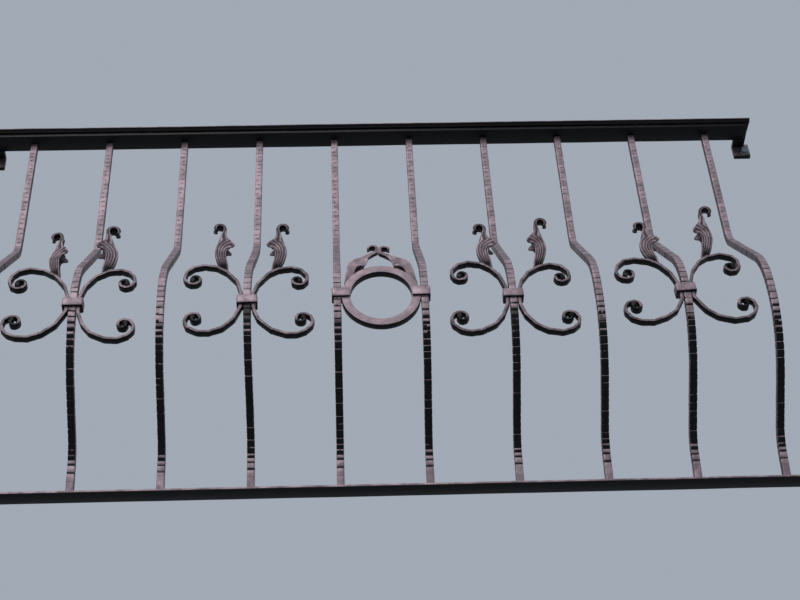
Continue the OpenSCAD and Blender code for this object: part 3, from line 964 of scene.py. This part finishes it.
def makeLeaves(look):
    rightLeaf = makeLeaf(look)
    leftLeaf = mirrored(rightLeaf, "leafSheetTurned")
    masters = {"left": leftLeaf, "right": rightLeaf}
    for (i, hand), (stemX, lean, turn, pitch, size) in look["set"].items():
        side = handSides[hand]
        rise, tilt, armSize = scrollShape["bent"][i, hand][:3]
        arm = armLine(scrollShape, tilt, armSize)
        armTop = max(p.y for p in arm if abs(p.x - stemX) < look["onArm"])
        stemZ = (armTop + rise) * mm + scrollShape["thick"] / 2
        sway = balusterShape["sway"].get(i, 0.0) * mm
        piece = ownCopy(masters[hand], "leaf%02d%s" % (i, hand.capitalize()))
        piece.matrix_world = (
            Matrix.Translation((barX[i] + sway + side * stemX * mm, featureY, featureZ + stemZ))
            @ turned(pitch, "X") @ turned(-side * turn, "Z") @ turned(side * lean, "Y")
            @ Matrix.Scale(size, 4)
        )
        applyAll(piece)
        finishPiece(piece, "leaf", "leaf_%02d_%s" % (i, hand), angle=60)
    for hand, (around, lean, size) in look["onRing"].items():
        side = handSides[hand]
        around = math.radians(around)
        outwardsHere = Vector((side * math.sin(around), 0, math.cos(around)))
        foot = (ringShape["radius"] - ringShape["face"] / look["intoRing"]) * outwardsHere
        piece = ownCopy(masters[hand], "ringLeaf" + hand.capitalize())
        for vertex in piece.data.vertices:
            share = ramp(vertex.co.z, 0, look["bowUpTo"])
            vertex.co.x += side * look["bow"] * (0.5 - 0.5 * math.cos(2 * math.pi * share))
            vertex.co.y *= look["flattened"]
        piece.matrix_world = (
            Matrix.Translation(middleOf("centre_ring"))
            @ turned(ringShape["lean"], "X")
            @ Matrix.Translation(foot)
            @ turned(-side * lean, "Y")
            @ Matrix.Scale(size, 4)
        )
        applyAll(piece)
        finishPiece(piece, "leaf", "ring_leaf_%s" % hand, finish="ringLeaf", angle=60)
    dropPiece(leftLeaf)
    dropPiece(rightLeaf)


makeLeaves(leafShape)
print("ten leaves")


# Rails
railShape = {
    "arris": 1.5 * mm,
    "plainArris": 0.5 * mm,      # of the bar under the handrail
    "brushed": 2.2,              # how strongly the rose caught the upper street edge
    "lip": 4.2 * mm,             # and down to where it thins out
    "stations": 36,              # along a bar, so that it can be uneven
    "uneven": 0.35 * mm,
    "barScale": 14.0,            # of the unevenness
    "capScale": 12.0,
    "capSeed": 3.0,
    "capCove": 4.5 * mm,
    "coveSteps": 8,
    "coveProfile": 0.14,
    "capCrown": 1.2 * mm,
    "crownSteps": 12,
    "capFrontEnd": 5.0 * mm,     # front corners run past the flat bar's ends
    "capBackEnd": 1.0 * mm,
}


# a hollow below nought on the upper street edge, where the brush caught it
def brushEdge(piece, low, high, drop, look):
    mark = piece.data.attributes.new("hollow", "FLOAT", "POINT")
    spare = 0.05 * mm
    for vertex in piece.data.vertices:
        back, down = vertex.co.y - low.y, high.z - drop - vertex.co.z
        if back < look["arris"] - spare and down < look["arris"] + spare:
            mark.data[vertex.index].value = -look["brushed"]


def flatBar(name, node, look, brushed):
    piece = addBox(name, *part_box(node))
    low, high = (Vector(v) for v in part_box(node))
    openEdit(piece)
    cutEvenly(low, high, 0, look["stations"])
    if brushed:
        cutAt(2, high.z - look["lip"])
    closeEdit()
    roundEdges(piece, look["arris"] if brushed else look["plainArris"], 2)
    if brushed:
        brushEdge(piece, low, high, 0, look)
    roughen(piece, look["uneven"], look["barScale"], low.z * 100)
    return piece


def makeHandrail(look):
    low, high = (Vector(v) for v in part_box("handrail_cap"))
    middle = (low + high) / 2
    piece = addBox("handrail", low, high)
    openEdit(piece)
    pick(piece, "EDGE", lambda e: all(v.co.z < middle.z for v in e.verts)
         and abs(e.verts[0].co.x - e.verts[1].co.x) > 0.5)
    bpy.ops.mesh.bevel(offset=look["capCove"], segments=look["coveSteps"], profile=look["coveProfile"])
    cutEvenly(low, high, 1, look["crownSteps"])
    cutEvenly(low, high, 0, look["stations"])
    cutAt(2, high.z - look["capCrown"] - look["lip"])
    closeEdit()
    halfDepth = (high.y - low.y) / 2
    for vertex in piece.data.vertices:
        if vertex.co.z > high.z - 1e-5:
            vertex.co.z -= look["capCrown"] * ((vertex.co.y - middle.y) / halfDepth) ** 2
        if min(vertex.co.x - low.x, high.x - vertex.co.x) < 1e-5:      # mitred ends
            back = (vertex.co.y - low.y) / (high.y - low.y)
            inset = (look["capFrontEnd"] - look["capBackEnd"]) * back
            vertex.co.x += inset if vertex.co.x < middle.x else -inset
    roundEdges(piece, look["arris"], 2, sharperThan=50)
    brushEdge(piece, low, high, look["capCrown"], look)
    roughen(piece, look["uneven"], look["capScale"], look["capSeed"])
    finishPiece(piece, "rail", "handrail_cap")


def makeRails(look):
    makeHandrail(look)
    finishPiece(flatBar("underBar", "top_bar", look, False), "rail", "top_bar")
    finishPiece(flatBar("bottomBar", "bottom_rail", look, True), "rail", "bottom_rail")


makeRails(railShape)
print("rails")


# Wall brackets and their bolts
bracketShape = {
    "arm": 22.0 * mm,
    "flangeThick": 8.0 * mm,
    "arris": 1.0 * mm,
    "boltIn": 10.0 * mm,         # from the flange's outer edge
    "washerRadius": 10.0 * mm,
    "washerThick": 1.6 * mm,
    "washerEdge": 0.4 * mm,
    "headRadius": 7.5 * mm,
    "headHigh": 5.5 * mm,
    "headRise": (0.9 * mm, 0.7 * mm),      # the crown: how far in, and up
    "headDish": (1.4 * mm, -0.3 * mm),     # and the shallow dish in it
    "headEdge": 0.35 * mm,
    "turns": (0.3, 1.0, 1.7, 2.4),         # radians, as each one was tightened
}


def makeBracket(row, hand, look):
    node = "bracket_%s_%s" % (row, hand)
    side = handSides[hand]
    low, high = (Vector(v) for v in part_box(node))
    thickZ = sizeOf("top_bar").z if row == "top" else sizeOf("bottom_rail").z
    armLow, armHigh = (high.z - thickZ, high.z) if row == "top" else (low.z, low.z + thickZ)
    piece = addBox("bracket%s%s" % (row.capitalize(), hand.capitalize()),
                   (low.x, -look["flangeThick"], low.z), high)
    openEdit(piece)
    inner = low.x if side > 0 else high.x
    edge = inner + side * look["arm"]
    split = armLow if row == "top" else armHigh
    cutAt(0, edge)
    cutAt(2, split)
    armMiddle = Vector(((inner + edge) / 2, -look["flangeThick"], (armLow + armHigh) / 2))
    pick(piece, "FACE", lambda f: f.normal.y < -0.9 and (f.calc_center_median() - armMiddle).length < 2 * mm)
    bpy.ops.mesh.extrude_region_move(TRANSFORM_OT_translate={"value": (0, low.y + look["flangeThick"], 0)})
    outwards()
    closeEdit()
    roundEdges(piece, look["arris"], 3)
    finishPiece(piece, "bracket", node)
    boltX = inner + side * (sizeOf(node).x - look["boltIn"])
    boltZ = (low.z + split) / 2 if row == "top" else (split + high.z) / 2
    return Vector((boltX, -look["flangeThick"], boltZ))


def makeBolt(name, place, look, turn):
    bpy.ops.mesh.primitive_cylinder_add(vertices=32, radius=look["washerRadius"], depth=look["washerThick"],
                                        location=(0, 0, look["washerThick"] / 2))
    washer = bpy.context.object
    openEdit(washer)
    pick(washer, "FACE", lambda f: abs(f.normal.z) > 0.9)
    bpy.ops.mesh.bevel(offset=look["washerEdge"], segments=2)
    closeEdit()
    bpy.ops.mesh.primitive_cylinder_add(vertices=6, radius=look["headRadius"], depth=look["headHigh"],
                                        location=(0, 0, look["washerThick"] + look["headHigh"] / 2),
                                        rotation=(0, 0, turn))
    head = bpy.context.object
    applyAll(head)
    openEdit(head)
    pick(head, "FACE", lambda f: f.normal.z > 0.9)
    for inset, rise in (look["headRise"], look["headDish"]):
        bpy.ops.mesh.inset(thickness=inset)
        bpy.ops.transform.translate(value=(0, 0, rise))
    closeEdit()
    roundEdges(head, look["headEdge"], 2)
    washer.select_set(True)
    bpy.context.view_layer.objects.active = head
    bpy.ops.object.join()
    head.name = name
    head.rotation_euler = (math.pi / 2, 0, 0)
    head.location = place
    applyAll(head)
    finishPiece(head, "bracket", finish="bolt")


def makeBrackets(look):
    corners = [(row, hand) for row in ("top", "bottom") for hand in handSides]
    for (row, hand), turn in zip(corners, look["turns"]):
        place = makeBracket(row, hand, look)
        makeBolt("bolt%s%s" % (row.capitalize(), hand.capitalize()), place, look, turn)


makeBrackets(bracketShape)
print("brackets and bolts")


# Studio
studio = {
    "floorPlace": (0.68, 0, -2.6),
    "floorSize": 16.0,
    "floorRoughness": 0.8,
    "floorColour": (0.52, 0.54, 0.57, 1),
    "floorBounce": (0.06, 0.06, 0.06, 1),      # what it sends back up
    "backdrop": (0.36, 0.40, 0.46, 1),
    "skyLight": (0.80, 0.86, 0.95, 1),
    "skyFrom": (-0.45, 0.45),      # the sky fades in over these heights of the horizon
    "skyStrength": (0.03, 0.85),
    "keyEnergy": 166.0,
    "keySize": 3.5,
    "keyPlace": (-0.6, -4.2, 3.6),
    "keyAim": (0.7, -0.1, 0.4),
}


def makeStudio(setup):
    scene = bpy.context.scene
    scene.view_settings.view_transform = "Standard"
    world = scene.world or bpy.data.worlds.new("studio")
    scene.world = world
    world.use_nodes = True
    tree = world.node_tree
    tree.nodes.clear()
    output = tree.nodes.new("ShaderNodeOutputWorld")
    direction = addNode(tree, "ShaderNodeTexCoord").outputs["Generated"]
    up = addNode(tree, "ShaderNodeSeparateXYZ", {0: direction}).outputs["Z"]
    level = smoothRange(tree, up, *setup["skyFrom"], *setup["skyStrength"])
    sky = addNode(tree, "ShaderNodeBackground", {"Color": setup["skyLight"], "Strength": level})
    plain = addNode(tree, "ShaderNodeBackground", {"Color": setup["backdrop"], "Strength": 1.0})
    path = addNode(tree, "ShaderNodeLightPath")
    seen = mathNode(tree, "MAXIMUM", path.outputs["Is Camera Ray"], path.outputs["Is Glossy Ray"])
    seen = mathNode(tree, "MAXIMUM", seen, path.outputs["Is Transmission Ray"])
    blend = addNode(tree, "ShaderNodeMixShader", {0: seen, 1: sky.outputs[0], 2: plain.outputs[0]})
    tree.links.new(blend.outputs[0], output.inputs["Surface"])

    bpy.ops.mesh.primitive_plane_add(size=setup["floorSize"], location=setup["floorPlace"])
    floor = bpy.context.object
    floor.name = "studioFloor"
    material, floorTree, shader = newMaterial("paleFloor")
    bounce = addNode(floorTree, "ShaderNodeLightPath").outputs["Is Diffuse Ray"]
    colour = blendColours(floorTree, bounce, setup["floorColour"], setup["floorBounce"])
    floorTree.links.new(colour, shader.inputs["Base Color"])
    shader.inputs["Roughness"].default_value = setup["floorRoughness"]
    floor.data.materials.append(material)

    bpy.ops.object.light_add(type="AREA", location=setup["keyPlace"])
    key = bpy.context.object
    key.name = "softKey"
    key.data.shape = "SQUARE"
    key.data.size = setup["keySize"]
    key.data.energy = setup["keyEnergy"]
    aim = Vector(setup["keyAim"]) - Vector(setup["keyPlace"])
    key.rotation_euler = aim.to_track_quat("-Z", "Y").to_euler()


makeStudio(studio)
print("studio")
